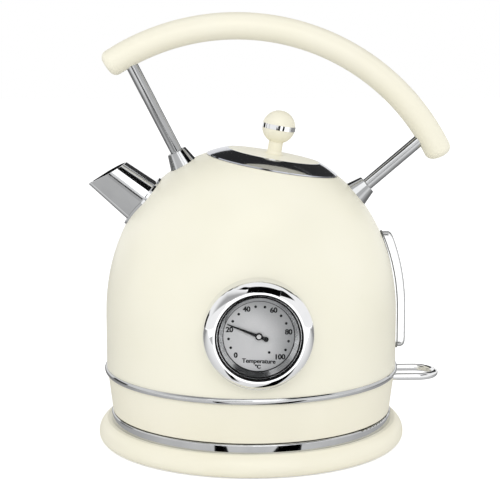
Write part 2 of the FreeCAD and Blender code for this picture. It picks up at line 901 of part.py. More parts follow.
def bimetal_coil():
    low = dome_radius - shell_wall - gauge_stem_reach + gauge_stem_end
    return on_gauge(ring(coil_inner, coil_outer, low, low + coil_length))


def at_needle(shape):
    return on_gauge(placed(shape, Vector(), Rotation(Vector(0, 0, 1), needle_rest)))


def gauge_needle():
    low = dial_front + needle_lift
    high = low + needle_thickness
    right_side = [(needle_root_half, -needle_tail), (needle_root_half, 0), (needle_tip_half, needle_length)]
    left_side = [(-x, y) for x, y in reversed(right_side)]
    outline = [Vector(x, y, low) for x, y in right_side + left_side + right_side[:1]]
    blade = Part.Face(Part.makePolygon(outline)).extrude(Vector(0, 0, needle_thickness))
    weight = placed(rod(needle_tail_radius, low, high), Vector(0, -needle_tail, 0), Rotation())
    needle = blade.fuse([weight, rod(needle_hub_radius, low, high)])
    return at_needle(needle.cut(rod(spindle_radius + touch / 2, 0, far)))


def needle_cap():
    low = dial_front + needle_lift + needle_thickness
    return at_needle(rod(needle_cap_radius, low, low + needle_cap_height))


def needle_spindle():
    high = dial_front + needle_lift + needle_thickness
    return on_gauge(rod(spindle_radius, high - spindle_reach, high))


# Water level window


def window_prism(width, grow):
    # a tall slot shape with round ends, running out along +X
    half = width / 2 + grow
    low = window_low + width / 2
    high = window_high - width / 2
    start = window_start
    corners = [Vector(start, -half, low), Vector(start, -half, high), Vector(start, 0, high + half),
               Vector(start, half, high), Vector(start, half, low), Vector(start, 0, low - half)]
    outline = Part.Wire([Part.LineSegment(corners[0], corners[1]).toShape(),
                         Part.Arc(corners[1], corners[2], corners[3]).toShape(),
                         Part.LineSegment(corners[3], corners[4]).toShape(),
                         Part.Arc(corners[4], corners[5], corners[0]).toShape()])
    return Part.Face(outline).extrude(Vector(dome_radius, 0, 0))


def rounded_front(strip):
    # the seam round the dome stays sharp: only the edges that leave its level are rounded
    front = [edge for edge in strip.Edges
             if edge.BoundBox.XMin > window_start + past and edge.BoundBox.ZLength > touch]
    return strip.makeFillet(window_round, front)


def level_window():
    inner = dome_solid(-shell_wall - gasket_thickness, trim_high)
    strip = window_prism(window_width, -touch).common(dome_solid(window_bulge, trim_high))
    strip = rounded_front(strip).cut(inner)
    hollow = window_prism(window_width, -window_wall)
    hollow = hollow.common(dome_solid(window_bulge - window_wall, trim_high))
    rim = window_prism(window_width, window_rim).common(inner)
    rim = rim.cut(dome_solid(-shell_wall - gasket_thickness - window_rim_thickness, trim_high))
    return strip.fuse(rim).cut(hollow)


def window_gasket():
    band = window_prism(window_width, window_rim).cut(window_prism(window_width, 0))
    band = band.common(dome_solid(-shell_wall, trim_high))
    return band.cut(dome_solid(-shell_wall - gasket_thickness, trim_high))


# Switch lever


def switch_lever():
    level = lever_height
    bend = lever_reach - lever_bar - lever_half_width
    bars = []
    for side in (-1, 1):
        start = Vector(lever_pivot_x, side * lever_half_width, level)
        bars.append(Part.makeCylinder(lever_bar, bend - lever_pivot_x, start, Vector(1, 0, 0)))
    section = Part.Circle(Vector(0, -lever_half_width, 0), Vector(1, 0, 0), lever_bar).toShape()
    loop = Part.Face(Part.Wire(section)).revolve(Vector(), Vector(0, 0, 1), 180)
    bars.append(placed(loop, Vector(bend, 0, level), Rotation()))
    hub = crosswise(lever_hub_radius, lever_hub_half, lever_pivot_x, level)
    shield_inner = lever_shield_radius - lever_shield_wall
    shield = ring(shield_inner, lever_shield_radius, lever_shield_low, lever_shield_high)
    shield = shield.common(box((0, -lever_shield_half, 0), (far, lever_shield_half, far)))
    half = lever_tongue_thickness / 2
    tongue = box((lever_pivot_x - lever_tongue_length, -lever_tongue_half, level - half),
                 (lever_pivot_x, lever_tongue_half, level + half))
    bore = crosswise(pin_radius + running, far, lever_pivot_x, level)
    return hub.fuse(bars + [shield, tongue]).cut(bore).removeSplitter()


def ear_places():
    inner = lever_hub_half + free
    return [(inner, inner + bracket_ear), (-inner - bracket_ear, -inner)]


def switch_bracket():
    top = plate_low
    low_plate = top - bracket_plate_thickness
    reach = lever_hub_half + free + bracket_ear
    bracket = box((lever_pivot_x - bracket_half_length, -reach, low_plate),
                  (lever_pivot_x + bracket_half_length, reach, top))
    for near, away in ear_places():
        ear = box((lever_pivot_x - bracket_half_length / 2, near, lever_height - lever_hub_radius),
                  (lever_pivot_x + bracket_half_length / 2, away, top))
        bracket = bracket.fuse(ear)
    return bracket.cut(crosswise(pin_radius + touch / 2, far, lever_pivot_x, lever_height))


def lever_pin():
    return crosswise(pin_radius, lever_hub_half + free + bracket_ear, lever_pivot_x, lever_height)


# Lid


def lid_skirt():
    slope = (lid_skirt_rise - lid_edge) / (lid_radius - lid_skirt_top_radius)
    inner = lid_skirt_top_radius - lid_skirt_wall
    edge = (lid_radius, lid_edge + free)
    top = (lid_skirt_top_radius, lid_skirt_rise)
    middle = ((edge[0] + top[0]) / 2, (edge[1] + top[1]) / 2 + lid_skirt_crown)
    inner_top = (inner, lid_skirt_rise)
    inner_low = (inner, lid_skirt_rise - lid_skirt_wall)
    foot = (lid_radius - lid_skirt_wall / slope, free)
    return on_lid(lathe_edges(
        line((lid_radius, free), edge), arc(edge, middle, top), line(top, inner_top),
        line(inner_top, inner_low), line(inner_low, foot), line(foot, (lid_radius, free))))


def lid_cover():
    radius = lid_skirt_top_radius - lid_skirt_wall - touch
    low = lid_skirt_rise - lid_cover_thickness
    crown = lid_skirt_rise + lid_cover_crown
    cover = lathe_edges(
        line((0, low), (radius, low)), line((radius, low), (radius, lid_skirt_rise)),
        arc((radius, lid_skirt_rise), (radius / 2, lid_skirt_rise + 3 * lid_cover_crown / 4), (0, crown)),
        line((0, crown), (0, low)))
    return on_lid(cover.cut(rod(knob_pin_radius + touch, -far, far)))


def lid_plug():
    cup = rod(lid_plug_radius, -lid_plug_depth, free + lid_flange_thickness)
    cup = cup.fuse(rod(lid_flange_radius, free, free + lid_flange_thickness))
    cup = cup.cut(rod(lid_plug_radius - lid_plug_wall, -lid_plug_depth + lid_plug_wall, far))
    boss = rod(lid_boss_radius, -lid_plug_depth, lid_skirt_rise - lid_cover_thickness)
    head = rod(lid_screw_head + touch, -far, -lid_plug_depth + lid_screw_head_height)
    return on_lid(cup.fuse(boss).cut(rod(lid_screw_radius + touch, -far, far)).cut(head))


def lid_seal():
    return on_lid(ring(lid_plug_radius + touch, opening_radius - free, lid_seal_low, lid_seal_high))


def knob_stem():
    low = lid_skirt_rise + lid_cover_crown
    band = knob_centre - knob_band_height / 2
    ball = Part.makeSphere(knob_radius, Vector(0, 0, knob_centre)).cut(rod(far, band, far))
    stem = rod(knob_stem_radius, low, band)
    flare_top = low + knob_flare_height
    flare = lathe_edges(
        line((0, low), (knob_flare_radius, low)),
        upright_arc((knob_stem_radius, flare_top), (knob_flare_radius, low)),
        line((knob_stem_radius, flare_top), (0, flare_top)), line((0, flare_top), (0, low)))
    pin = rod(knob_pin_radius, lid_skirt_rise - lid_cover_thickness, knob_centre)
    hole = rod(lid_screw_radius + touch, -far, low + lid_screw_reach + touch)
    return on_lid(ball.fuse([stem, flare, pin]).cut(hole))


def knob_band():
    half = knob_band_height / 2
    outer = knob_radius + knob_band_proud
    return on_lid(ring(knob_pin_radius + touch, outer, knob_centre - half, knob_centre + half))


def knob_top():
    ball = Part.makeSphere(knob_radius, Vector(0, 0, knob_centre))
    cap = ball.cut(rod(far, -far, knob_centre + knob_band_height / 2))
    return on_lid(cap.fuse(rod(knob_pin_radius, knob_centre + touch, knob_centre + knob_band_height)))


def lid_screw():
    low = -lid_plug_depth
    head = rod(lid_screw_head, low, low + lid_screw_head_height)
    shank = rod(lid_screw_radius, low, lid_skirt_rise + lid_cover_crown + lid_screw_reach)
    return on_lid(head.fuse(shank))


pieces = {
    "base_housing": base_housing,
    "base_trim_ring": base_trim_ring,
    "base_bottom_cover": base_bottom_cover,
    "base_foot_ring": base_foot_ring,
    "base_screws": base_screws,
    "cord_gland": cord_gland,
    "connector_hub": connector_hub,
    "base_contacts": base_contacts,
    "swivel_ring": swivel_ring,
    "lower_skirt": lower_skirt,
    "trim_ring": trim_ring,
    "bottom_cover": bottom_cover,
    "bottom_screws": bottom_screws,
    "heater_plate": heater_plate,
    "heat_diffuser": heat_diffuser,
    "heating_element": heating_element,
    "control_unit": control_unit,
    "bimetal_discs": bimetal_discs,
    "socket": socket,
    "socket_contacts": socket_contacts,
    "steam_tube": steam_tube,
    "body_wall": body_wall,
    "body_dome": body_dome,
    "left_post": lambda: post("left"),
    "right_post": lambda: post("right"),
    "left_collar": lambda: collar("left"),
    "right_collar": lambda: collar("right"),
    "handle_grip": handle_grip,
    "handle_inserts": handle_inserts,
    "post_seals": post_seals,
    "post_nuts": post_nuts,
    "spout": spout,
    "filter_frame": filter_frame,
    "filter_mesh": filter_mesh,
    "gauge_bezel": gauge_bezel,
    "gauge_lens": gauge_lens,
    "gauge_dial": gauge_dial,
    "gauge_case": gauge_case,
    "gauge_seal": gauge_seal,
    "gauge_stem": gauge_stem,
    "gauge_nut": gauge_nut,
    "bimetal_coil": bimetal_coil,
    "gauge_needle": gauge_needle,
    "needle_cap": needle_cap,
    "needle_spindle": needle_spindle,
    "level_window": level_window,
    "window_gasket": window_gasket,
    "switch_lever": switch_lever,
    "switch_bracket": switch_bracket,
    "lever_pin": lever_pin,
    "lid_skirt": lid_skirt,
    "lid_cover": lid_cover,
    "lid_plug": lid_plug,
    "lid_seal": lid_seal,
    "knob_stem": knob_stem,
    "knob_band": knob_band,
    "knob_top": knob_top,
    "lid_screw": lid_screw,
}

os.makedirs("parts", exist_ok=True)
for name, make in pieces.items():
    shape = make()
    shape.exportStep(f"parts/{name}.step")
    print(f"{name}: {len(shape.Solids)} solid(s), {shape.Volume:.1f} mm3, valid {shape.isValid()}")
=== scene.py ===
import math

import bpy
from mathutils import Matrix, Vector


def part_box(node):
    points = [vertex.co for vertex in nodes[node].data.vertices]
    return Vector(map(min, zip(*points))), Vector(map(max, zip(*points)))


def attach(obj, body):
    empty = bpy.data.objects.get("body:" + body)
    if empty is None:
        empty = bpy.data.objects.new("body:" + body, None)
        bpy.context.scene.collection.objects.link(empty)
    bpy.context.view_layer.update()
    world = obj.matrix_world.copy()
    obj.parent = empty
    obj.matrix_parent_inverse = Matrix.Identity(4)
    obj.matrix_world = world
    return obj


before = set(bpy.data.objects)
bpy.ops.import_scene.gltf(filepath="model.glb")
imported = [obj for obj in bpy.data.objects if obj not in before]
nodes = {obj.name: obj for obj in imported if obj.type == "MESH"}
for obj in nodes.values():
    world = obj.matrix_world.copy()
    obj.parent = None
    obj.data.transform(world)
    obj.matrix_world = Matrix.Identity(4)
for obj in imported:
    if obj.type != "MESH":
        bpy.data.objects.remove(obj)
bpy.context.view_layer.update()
scene = bpy.context.scene
scene.view_settings.view_transform = "Standard"
print("frame loaded:", len(nodes), "nodes")


def tone(red, green, blue):
    # a display colour, 0 to 255, as linear light
    linear = []
    for level in (red, green, blue):
        share = level / 255
        linear.append(share / 12.92 if share <= 0.04045 else ((share + 0.055) / 1.055) ** 2.4)
    return (*linear, 1.0)


# camera at the photograph's place: a long lens just above the handle, a little to the spout's side
cameraSet = {
    "place": (-0.04689, -1.01298, 0.29504),
    "downTilt": 9.62,
    "turn": -2.61,
    "lens": 114.45,
    "sensor": 36,
    "nearest": 0.01,
}
bpy.ops.object.camera_add(location=cameraSet["place"])
camera = bpy.context.object
camera.rotation_euler = (math.radians(90 - cameraSet["downTilt"]), 0, math.radians(cameraSet["turn"]))
camera.data.lens = cameraSet["lens"]
camera.data.sensor_width = cameraSet["sensor"]
camera.data.clip_start = cameraSet["nearest"]
scene.camera = camera
print("camera placed")


# node helpers

def addNode(tree, kind, inputs=None, **settings):
    node = tree.nodes.new(kind)
    for key, value in settings.items():
        setattr(node, key, value)
    for key, value in (inputs or {}).items():
        node.inputs[key].default_value = value
    return node


def newGroup(name, inputs, outputs):
    group = bpy.data.node_groups.new(name, "ShaderNodeTree")
    for way, sockets in (("INPUT", inputs), ("OUTPUT", outputs)):
        for label, kind in sockets.items():
            group.interface.new_socket(label, in_out=way, socket_type="NodeSocket" + kind)
    return group, addNode(group, "NodeGroupInput"), addNode(group, "NodeGroupOutput")


def mottleGroup():
    # slow drift of a colour between two tones, as in fired enamel or tinted plastic
    group, start, end = newGroup(
        "colourDrift",
        {"Vector": "Vector", "Tone": "Color", "Other Tone": "Color", "Scale": "Float"},
        {"Color": "Color"})
    noise = addNode(group, "ShaderNodeTexNoise", {"Detail": 3.0, "Roughness": 0.5})
    spread = addNode(group, "ShaderNodeMapRange", {"From Min": 0.32, "From Max": 0.68})
    mix = addNode(group, "ShaderNodeMix", data_type="RGBA")
    group.links.new(start.outputs["Vector"], noise.inputs["Vector"])
    group.links.new(start.outputs["Scale"], noise.inputs["Scale"])
    group.links.new(noise.outputs["Fac"], spread.inputs["Value"])
    group.links.new(spread.outputs["Result"], mix.inputs["Factor"])
    group.links.new(start.outputs["Tone"], mix.inputs["A"])
    group.links.new(start.outputs["Other Tone"], mix.inputs["B"])
    group.links.new(mix.outputs["Result"], end.inputs["Color"])
    return group


def glossGroup():
    # roughness that wanders between two values, with finer wipe marks in it
    group, start, end = newGroup(
        "wipedGloss",
        {"Vector": "Vector", "Smooth": "Float", "Dull": "Float", "Scale": "Float"},
        {"Roughness": "Float"})
    broad = addNode(group, "ShaderNodeTexNoise", {"Detail": 4.0, "Roughness": 0.6, "Distortion": 0.4})
    spread = addNode(group, "ShaderNodeMapRange", {"From Min": 0.3, "From Max": 0.7})
    group.links.new(start.outputs["Vector"], broad.inputs["Vector"])
    group.links.new(start.outputs["Scale"], broad.inputs["Scale"])
    group.links.new(broad.outputs["Fac"], spread.inputs["Value"])
    group.links.new(start.outputs["Smooth"], spread.inputs["To Min"])
    group.links.new(start.outputs["Dull"], spread.inputs["To Max"])
    group.links.new(spread.outputs["Result"], end.inputs["Roughness"])
    return group


def grainGroup():
    # fine height: the ripple of sprayed enamel, or the spark-eroded grain of a moulding
    group, start, end = newGroup(
        "fineGrain",
        {"Vector": "Vector", "Scale": "Float", "Stretch": "Vector"},
        {"Height": "Float"})
    stretch = addNode(group, "ShaderNodeVectorMath", operation="MULTIPLY")
    noise = addNode(group, "ShaderNodeTexNoise", {"Detail": 2.0, "Roughness": 0.55})
    group.links.new(start.outputs["Vector"], stretch.inputs[0])
    group.links.new(start.outputs["Stretch"], stretch.inputs[1])
    group.links.new(stretch.outputs["Vector"], noise.inputs["Vector"])
    group.links.new(start.outputs["Scale"], noise.inputs["Scale"])
    group.links.new(noise.outputs["Fac"], end.inputs["Height"])
    return group


colourDrift = mottleGroup()
wipedGloss = glossGroup()
fineGrain = grainGroup()
print("surface effects ready")


def finish(name, look):
    # one Principled material whose colour, gloss and fine height come from the shared effects
    made = bpy.data.materials.new(name)
    made.use_nodes = True
    tree = made.node_tree
    shader = tree.nodes["Principled BSDF"]
    place = addNode(tree, "ShaderNodeTexCoord").outputs["Object"]

    drift = addNode(tree, "ShaderNodeGroup", {
        "Tone": tone(*look["tone"]), "Other Tone": tone(*look["otherTone"]), "Scale": look["driftScale"],
    }, node_tree=colourDrift)
    tree.links.new(place, drift.inputs["Vector"])
    tree.links.new(drift.outputs["Color"], shader.inputs["Base Color"])

    smooth, dull = look["gloss"]
    gloss = addNode(tree, "ShaderNodeGroup", {
        "Smooth": smooth, "Dull": dull, "Scale": look.get("glossScale", 45.0),
    }, node_tree=wipedGloss)
    tree.links.new(place, gloss.inputs["Vector"])
    tree.links.new(gloss.outputs["Roughness"], shader.inputs["Roughness"])

    if "grain" in look:
        scale, stretch, depth = look["grain"]
        grain = addNode(tree, "ShaderNodeGroup", {"Scale": scale, "Stretch": stretch}, node_tree=fineGrain)
        bump = addNode(tree, "ShaderNodeBump", {"Strength": 1.0, "Distance": depth})
        tree.links.new(place, grain.inputs["Vector"])
        tree.links.new(grain.outputs["Height"], bump.inputs["Height"])
        tree.links.new(bump.outputs["Normal"], shader.inputs["Normal"])
    for socket, value in look.get("fixed", {}).items():
        shader.inputs[socket].default_value = value
    return made


even = (1.0, 1.0, 1.0)
creamEnamel = finish("creamEnamel", {
    "tone": (243, 240, 221), "otherTone": (245, 242, 225), "driftScale": 18.0,
    "gloss": (0.34, 0.42), "grain": (900.0, even, 0.000004),
    "fixed": {"Coat Weight": 0.15, "Coat Roughness": 0.3},
})
creamPlastic = finish("creamPlastic", {
    "tone": (243, 239, 219), "otherTone": (245, 241, 223), "driftScale": 22.0,
    "gloss": (0.38, 0.46), "grain": (1500.0, even, 0.000004),
})
brightPlating = {
    "tone": (234, 235, 236), "otherTone": (240, 240, 241), "driftScale": 60.0,
    "gloss": (0.03, 0.08), "glossScale": 70.0,
    "fixed": {"Metallic": 1.0},
}
polishedChrome = finish("polishedChrome", brightPlating)
bezelChrome = finish("bezelChrome", brightPlating)
trimChrome = finish("trimChrome", {
    "tone": (192, 193, 194), "otherTone": (202, 203, 204), "driftScale": 60.0,
    "gloss": (0.04, 0.09), "glossScale": 70.0,
    "fixed": {"Metallic": 1.0},
})
# a darker, cooler copy of the chrome: painted shade, so that the handle's underside it mirrors reads grey
shadedLidChrome = finish("shadedLidChrome", {
    "tone": (186, 188, 195), "otherTone": (194, 196, 203), "driftScale": 60.0,
    "gloss": (0.05, 0.11), "glossScale": 70.0,
    "fixed": {"Metallic": 1.0},
})
polishedSteel = finish("polishedSteel", {
    "tone": (166, 167, 168), "otherTone": (178, 179, 180), "driftScale": 60.0,
    "gloss": (0.05, 0.11), "glossScale": 70.0, "grain": (500.0, (1.0, 1.0, 0.1), 0.000002),
    "fixed": {"Metallic": 1.0},
})
spoutSteel = finish("spoutSteel", {
    "tone": (200, 201, 202), "otherTone": (209, 210, 211), "driftScale": 60.0,
    "gloss": (0.05, 0.1), "glossScale": 70.0, "grain": (500.0, (1.0, 1.0, 0.1), 0.000002),
    "fixed": {"Metallic": 1.0},
})
brushedSteel = finish("brushedSteel", {
    "tone": (186, 187, 188), "otherTone": (200, 200, 201), "driftScale": 80.0,
    "gloss": (0.26, 0.4), "grain": (300.0, (1.0, 1.0, 14.0), 0.00001),
    "fixed": {"Metallic": 1.0},
})
spunSteel = finish("spunSteel", {
    "tone": (190, 190, 190), "otherTone": (204, 204, 203), "driftScale": 50.0,
    "gloss": (0.3, 0.42), "grain": (420.0, (1.0, 6.0, 1.0), 0.00001),
    "fixed": {"Metallic": 1.0},
})
castAluminium = finish("castAluminium", {
    "tone": (176, 178, 180), "otherTone": (194, 195, 196), "driftScale": 120.0,
    "gloss": (0.38, 0.52), "grain": (700.0, even, 0.00003),
    "fixed": {"Metallic": 1.0},
})
contactBrass = finish("contactBrass", {
    "tone": (206, 168, 92), "otherTone": (186, 146, 78), "driftScale": 160.0,
    "gloss": (0.22, 0.4), "grain": (600.0, even, 0.00001),
    "fixed": {"Metallic": 1.0},
})
darkPlastic = finish("darkPlastic", {
    "tone": (38, 38, 40), "otherTone": (46, 46, 48), "driftScale": 60.0,
    "gloss": (0.42, 0.58), "grain": (2600.0, even, 0.00004),
})
footRubber = finish("footRubber", {
    "tone": (40, 40, 40), "otherTone": (56, 55, 53), "driftScale": 140.0,
    "gloss": (0.7, 0.9), "grain": (1800.0, even, 0.00006),
})
paleSilicone = finish("paleSilicone", {
    "tone": (222, 221, 212), "otherTone": (212, 211, 202), "driftScale": 90.0,
    "gloss": (0.45, 0.6), "grain": (1200.0, even, 0.00003),
    "fixed": {"Subsurface Weight": 0.15, "Subsurface Radius": (0.004, 0.004, 0.003)},
})
seamSilicone = finish("seamSilicone", {
    "tone": (118, 119, 118), "otherTone": (134, 135, 134), "driftScale": 200.0,
    "gloss": (0.4, 0.55), "grain": (1200.0, even, 0.00001),
    "fixed": {"Specular IOR Level": 0.3},
})
needlePaint = finish("needlePaint", {
    "tone": (8, 8, 9), "otherTone": (16, 16, 17), "driftScale": 300.0,
    "gloss": (0.4, 0.55), "grain": (2400.0, even, 0.00001),
    "fixed": {"Specular IOR Level": 0.2},
})
sealRubber = finish("sealRubber", {
    "tone": (5, 5, 6), "otherTone": (12, 12, 12), "driftScale": 300.0,
    "gloss": (0.6, 0.75), "grain": (1800.0, even, 0.00001),
    "fixed": {"Specular IOR Level": 0.1},
})
capPaint = finish("capPaint", {
    "tone": (208, 208, 208), "otherTone": (220, 220, 220), "driftScale": 300.0,
    "gloss": (0.25, 0.35), "grain": (2400.0, even, 0.00001),
})
dialFace = finish("dialFace", {
    "tone": (210, 211, 212), "otherTone": (217, 217, 218), "driftScale": 90.0,
    "gloss": (0.4, 0.5), "grain": (2200.0, even, 0.00001),
})


def paintRimShade(made, look):
    # painted shade: the silvered face is greyed away from a point beside its middle, darker towards its rim
    tree = made.node_tree
    shader = tree.nodes["Principled BSDF"]
    away = addNode(tree, "ShaderNodeVectorMath", {1: look["brightest"]}, operation="DISTANCE")
    near, far = look["reach"]
    reach = addNode(tree, "ShaderNodeMapRange", {"From Min": near, "From Max": far},
                    interpolation_type="SMOOTHSTEP")
    mix = addNode(tree, "ShaderNodeMix", {"B": tone(*look["rimShadeTone"])},
                  data_type="RGBA", blend_type="MULTIPLY")
    plain = shader.inputs["Base Color"].links[0].from_socket
    tree.links.new(addNode(tree, "ShaderNodeTexCoord").outputs["Object"], away.inputs[0])
    tree.links.new(away.outputs["Value"], reach.inputs["Value"])
    tree.links.new(reach.outputs["Result"], mix.inputs["Factor"])
    tree.links.new(plain, mix.inputs["A"])
    tree.links.new(mix.outputs["Result"], shader.inputs["Base Color"])


dialLow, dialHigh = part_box("gauge_dial")
dialMiddle = (dialLow + dialHigh) / 2
# painted shade on the dial: darkest at its rim, lightest a little left of and below its middle
paintRimShade(dialFace, {
    "brightest": dialMiddle + Vector((-0.009, 0, -0.003)),
    "reach": (0.012, 0.03), "rimShadeTone": (190, 191, 192),
})


def satinShadedThroat(made, look):
    # the cone inside the bezel's lip is satin, and a little darker as painted shade in the recess; the rest
    # stays polished
    tree = made.node_tree
    shader = tree.nodes["Principled BSDF"]
    flat = addNode(tree, "ShaderNodeVectorMath", {1: (1.0, 0.0, 1.0)}, operation="MULTIPLY")
    away = addNode(tree, "ShaderNodeVectorMath", {1: look["axis"]}, operation="DISTANCE")
    inside = addNode(tree, "ShaderNodeMath", {1: look["radius"]}, operation="LESS_THAN")
    gloss = addNode(tree, "ShaderNodeMix", {"B": look["roughness"]}, data_type="FLOAT")
    shade = addNode(tree, "ShaderNodeMix", {"B": tone(*look["tone"])}, data_type="RGBA")
    tree.links.new(addNode(tree, "ShaderNodeTexCoord").outputs["Object"], flat.inputs[0])
    tree.links.new(flat.outputs["Vector"], away.inputs[0])
    tree.links.new(away.outputs["Value"], inside.inputs[0])
    for socket, mix in (("Roughness", gloss), ("Base Color", shade)):
        plain = shader.inputs[socket].links[0].from_socket
        tree.links.new(inside.outputs["Value"], mix.inputs["Factor"])
        tree.links.new(plain, mix.inputs["A"])
        tree.links.new(mix.outputs["Result"], shader.inputs[socket])


# painted shade: the bezel's inner cone gets a darker tone as well as its satin gloss
satinShadedThroat(bezelChrome, {
    "axis": (0, 0, dialMiddle.z), "radius": 0.0255,
    "roughness": 0.18, "tone": (212, 213, 214),
})


def clearLook(name, look):
    # a clear piece: see-through square on, more of its own tone and shine at a slant
    made = finish(name, look)
    tree = made.node_tree
    shader = tree.nodes["Principled BSDF"]
    slant = addNode(tree, "ShaderNodeLayerWeight", {"Blend": 0.5})
    squareOn, aslant = look["slant"]
    least, most = look["cover"]
    cover = addNode(tree, "ShaderNodeMapRange", {"From Min": squareOn, "From Max": aslant,
                                                 "To Min": least, "To Max": most})
    tree.links.new(slant.outputs["Facing"], cover.inputs["Value"])
    shown = cover.outputs["Result"]
    if "outward" in look:
        # its hollow side and the far side of its skin stay clear
        lean = addNode(tree, "ShaderNodeVectorMath", {1: look["outward"]}, operation="DOT_PRODUCT")
        hollow, outer = look["skinLean"]
        skin = addNode(tree, "ShaderNodeMapRange", {"From Min": hollow, "From Max": outer})
        near = addNode(tree, "ShaderNodeMath", {0: 1.0}, operation="SUBTRACT")
        tree.links.new(addNode(tree, "ShaderNodeTexCoord").outputs["Normal"], lean.inputs[0])
        tree.links.new(lean.outputs["Value"], skin.inputs["Value"])
        tree.links.new(addNode(tree, "ShaderNodeNewGeometry").outputs["Backfacing"], near.inputs[1])
        for part in (skin.outputs["Result"], near.outputs["Value"]):
            both = addNode(tree, "ShaderNodeMath", operation="MULTIPLY")
            tree.links.new(shown, both.inputs[0])
            tree.links.new(part, both.inputs[1])
            shown = both.outputs["Value"]
    tree.links.new(shown, shader.inputs["Alpha"])
    return made


lensGlass = clearLook("lensGlass", {
    "tone": (96, 100, 102), "otherTone": (112, 116, 118), "driftScale": 60.0,
    "gloss": (0.02, 0.05), "slant": (0.1, 1.0), "cover": (0.02, 0.3),
    "fixed": {"IOR": 1.5},
})
windowPlastic = clearLook("windowPlastic", {
    "tone": (96, 98, 98), "otherTone": (108, 110, 110), "driftScale": 50.0,
    "gloss": (0.05, 0.1), "slant": (0.22, 0.55), "cover": (0.04, 0.9),
    "outward": (1.0, 0.0, 0.0), "skinLean": (-0.4, -0.2),
    "fixed": {"IOR": 1.49},
})

wornBy = {
    creamEnamel: "body_wall body_dome lid_cover",
    creamPlastic: "base_housing lower_skirt handle_grip knob_top knob_stem",
    polishedChrome: "knob_band switch_lever",
    bezelChrome: "gauge_bezel",
    trimChrome: "base_trim_ring trim_ring",
    shadedLidChrome: "lid_skirt",
    polishedSteel: "left_post right_post left_collar right_collar",
    spoutSteel: "spout",
    brushedSteel: "base_screws bottom_screws heating_element steam_tube post_nuts filter_mesh gauge_stem "
                  "gauge_nut needle_spindle lever_pin lid_screw handle_inserts bimetal_discs gauge_case",
    spunSteel: "heater_plate lid_plug",
    castAluminium: "heat_diffuser",
    contactBrass: "base_contacts socket_contacts bimetal_coil",
    darkPlastic: "base_bottom_cover cord_gland connector_hub swivel_ring bottom_cover control_unit socket "
                 "switch_bracket filter_frame",
    footRubber: "base_foot_ring",
    paleSilicone: "post_seals gauge_seal window_gasket lid_seal",
    lensGlass: "gauge_lens",
    windowPlastic: "level_window",
    dialFace: "gauge_dial",
    needlePaint: "gauge_needle",
    capPaint: "needle_cap",
}
for look, names in wornBy.items():
    for name in names.split():
        slots = nodes[name].data.materials
        slots.clear()
        slots.append(look)
print("finishes on", sum(len(names.split()) for names in wornBy.values()), "nodes")


# dial print: numbers, dots between them, and the words at the foot
dialPrint = {
    "front": -dialLow.y,
    "height": dialMiddle.z,
    "lift": 0.00002,
    "thickness": 0.00006,
    "zeroTurn": -129.9,
    "stepTurn": 53.1,
    "numbers": ("0", "20", "40", "60", "80", "100"),
    "numberRadius": 0.0178,
    "numberSize": 0.0043,
    "numberBold": 0.00013,
    "strikeShift": (0.00009, 0.00001, 0),
    "dotRadius": 0.0179,
    "dotSize": 0.00082,
    "words": [  # words, turn, radius, size, bold
        ("Temperature", 180, 0.0151, 0.0037, 0.00007),
        ("°C", 182, 0.0185, 0.0031, 0.00013),
    ],
    "wordLean": 2.5,
    "pin": (148, 0.0116),
}


def onDial(turn, radius):
    angle = math.radians(turn)
    return Vector((radius * math.sin(angle), -dialPrint["front"] - dialPrint["lift"],
                   dialPrint["height"] + radius * math.cos(angle)))


def printText(words, place, size, bold, lean=0.0):
    bpy.ops.object.text_add()
    text = bpy.context.object
    text.data.body = words
    text.data.size = size
    text.data.align_x = "CENTER"
    text.data.align_y = "CENTER"
    text.data.extrude = dialPrint["thickness"] / 2
    text.data.offset = bold
    bpy.ops.object.convert(target="MESH")
    text.rotation_euler = (math.radians(90), math.radians(lean), 0)
    text.location = place
    bpy.ops.object.transform_apply(location=True, rotation=True, scale=True)
    return text


def strikeTwice(words, place, size, bold, lean=0.0):
    # printed twice, a hair apart, for fuller strokes
    shift = Vector(dialPrint["strikeShift"])
    return [printText(words, place + side * shift, size, bold, lean) for side in (-1, 1)]


def printDot(place):
    bpy.ops.mesh.primitive_cylinder_add(vertices=24, radius=dialPrint["dotSize"],
                                        depth=dialPrint["thickness"], location=place,
                                        rotation=(math.radians(90), 0, 0))
    dot = bpy.context.object
    bpy.ops.object.mode_set(mode="EDIT")
    bpy.ops.mesh.select_all(action="SELECT")
    bpy.ops.mesh.bevel(offset=dialPrint["thickness"] / 5, segments=1)
    bpy.ops.object.mode_set(mode="OBJECT")
    bpy.ops.object.transform_apply(location=True, rotation=True, scale=True)
    return dot


def makeDialPrint():
    bpy.ops.object.select_all(action="DESELECT")
    made = []
    for index, number in enumerate(dialPrint["numbers"]):
        turn = dialPrint["zeroTurn"] + dialPrint["stepTurn"] * index
        middle = onDial(turn, dialPrint["numberRadius"])
        made += strikeTwice(number, middle, dialPrint["numberSize"], dialPrint["numberBold"])
        if number != dialPrint["numbers"][-1]:
            for third in (1, 2):
                between = turn + dialPrint["stepTurn"] * third / 3
                made.append(printDot(onDial(between, dialPrint["dotRadius"])))
    for words, turn, radius, size, bold in dialPrint["words"]:
        made += strikeTwice(words, onDial(turn, radius), size, bold, dialPrint["wordLean"])
    made.append(printDot(onDial(*dialPrint["pin"])))
    bpy.ops.object.select_all(action="DESELECT")
    for piece in made:
        piece.select_set(True)
    bpy.context.view_layer.objects.active = made[0]
    bpy.ops.object.join()
    ink = bpy.context.object
    ink.name = "dial_print"
    ink.data.materials.clear()
    ink.data.materials.append(needlePaint)
    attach(ink, "kettle")


makeDialPrint()
print("dial printed")


